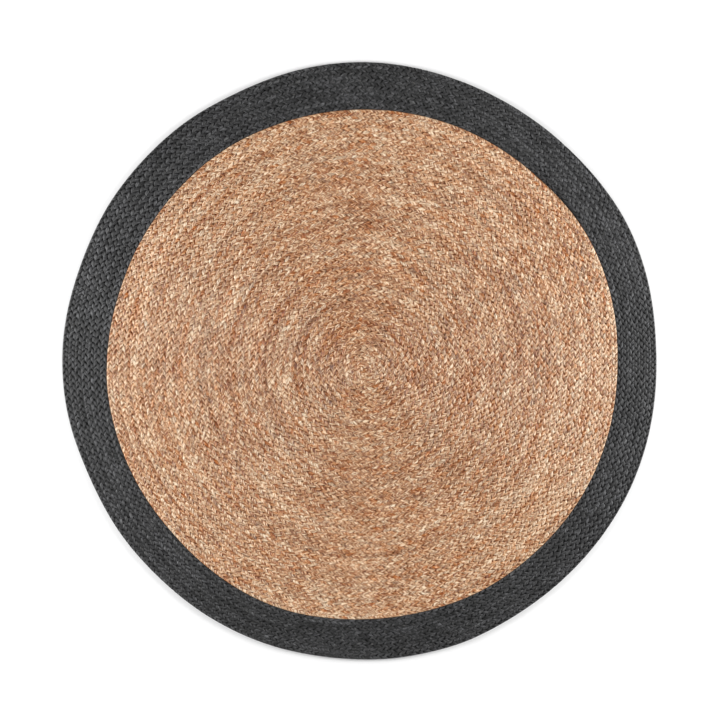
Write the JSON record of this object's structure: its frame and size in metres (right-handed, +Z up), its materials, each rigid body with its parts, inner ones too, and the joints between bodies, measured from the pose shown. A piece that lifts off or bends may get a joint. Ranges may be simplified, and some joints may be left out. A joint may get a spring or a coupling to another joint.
{
  "type": "round braided jute rug",
  "caption": "Round flat floor rug of jute braid coiled on itself and sewn, with a natural centre and a charcoal border.",
  "frame": {"origin": "on the underside, at the middle of the rug's outline", "axes": "+Z up out of the rug's upper side, +Y towards the top edge of the picture, +X towards its right edge"},
  "size_m": [1.1986, 1.2046, 0.008],
  "materials": {
    "natural_jute": "matt undyed jute yarn, braided",
    "charcoal_jute": "matt charcoal-dyed jute yarn, braided"
  },
  "bodies": {
    "root": {"natural_centre": "natural_jute", "charcoal_border": "charcoal_jute"}
  },
  "joints": []
}
